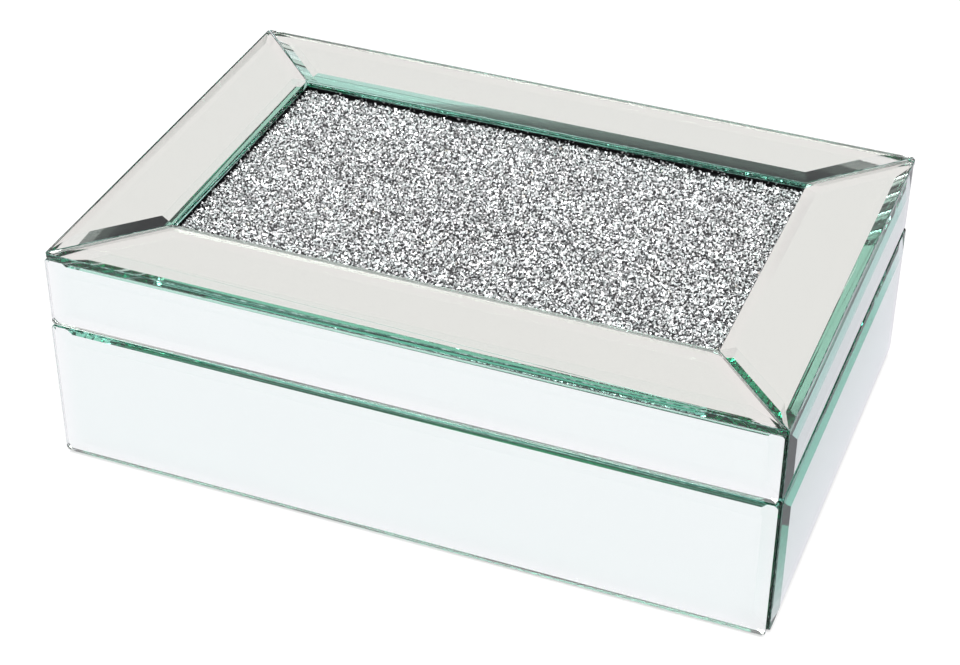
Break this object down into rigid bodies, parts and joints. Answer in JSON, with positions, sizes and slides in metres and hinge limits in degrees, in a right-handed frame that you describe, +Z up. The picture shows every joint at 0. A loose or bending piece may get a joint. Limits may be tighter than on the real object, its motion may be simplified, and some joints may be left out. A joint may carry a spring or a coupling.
{
  "type": "vanity trinket box",
  "caption": "Rectangular mirrored trinket box with bevelled glass panels, a hinged lid and a recessed crushed-crystal panel in its top.",
  "frame": {"origin": "centre of the felt underside, midway between the front and back mirrors' faces", "axes": "+X along the box's long side, to the right seen from the front; +Y from front to back; +Z up"},
  "size_m": [0.28, 0.1908, 0.093],
  "materials": {
    "mirror_glass": "polished float glass with a silvered back, green at its edges",
    "painted_wood": "satin grey paint",
    "fibreboard": "bare pressed fibreboard",
    "black_board": "fibreboard painted matt black",
    "velvet": "short-pile velvet, dove grey",
    "felt": "pressed felt, charcoal",
    "clear_bumper": "clear soft polyurethane",
    "tray_sheet": "black sheet blotched with clear glue",
    "crushed_crystal": "broken silvered glass grains",
    "hinge_chrome": "bright nickel-chrome plate",
    "screw_steel": "nickel-plated steel"
  },
  "bodies": {
    "base": {"felt_base": "felt", "bottom_board": "fibreboard", "base_wall_front": "painted_wood", "base_wall_back": "painted_wood", "base_wall_left": "painted_wood", "base_wall_right": "painted_wood", "base_mirror_front": "mirror_glass", "base_mirror_back": "mirror_glass", "base_mirror_left": "mirror_glass", "base_mirror_right": "mirror_glass", "base_lining_front": "velvet", "base_lining_back": "velvet", "base_lining_left": "velvet", "base_lining_right": "velvet", "floor_pad": "velvet", "rim_bumpers": "clear_bumper", "hinge_base_leaf_left": "hinge_chrome", "hinge_base_leaf_right": "hinge_chrome", "hinge_pin_left": "hinge_chrome", "hinge_pin_right": "hinge_chrome", "hinge_base_screws": "screw_steel"},
    "lid": {"lid_board": "black_board", "lid_rail_front": "painted_wood", "lid_rail_back": "painted_wood", "lid_rail_left": "painted_wood", "lid_rail_right": "painted_wood", "lid_mirror_front": "mirror_glass", "lid_mirror_back": "mirror_glass", "lid_mirror_left": "mirror_glass", "lid_mirror_right": "mirror_glass", "frame_mirror_front": "mirror_glass", "frame_mirror_back": "mirror_glass", "frame_mirror_left": "mirror_glass", "frame_mirror_right": "mirror_glass", "crystal_tray": "tray_sheet", "crystal_bed": "crushed_crystal", "lid_lining_panel": "velvet", "lid_lining_front": "velvet", "lid_lining_back": "velvet", "lid_lining_left": "velvet", "lid_lining_right": "velvet", "hinge_lid_leaf_left": "hinge_chrome", "hinge_lid_leaf_right": "hinge_chrome", "hinge_lid_screws": "screw_steel"}
  },
  "joints": [
    {"name": "lid_hinge", "type": "hinge", "parent": "base", "child": "lid", "pos_m": [0, 0.0956, 0.0601], "axis": [-1, 0, 0], "range_deg": [0, 95]}
  ]
}
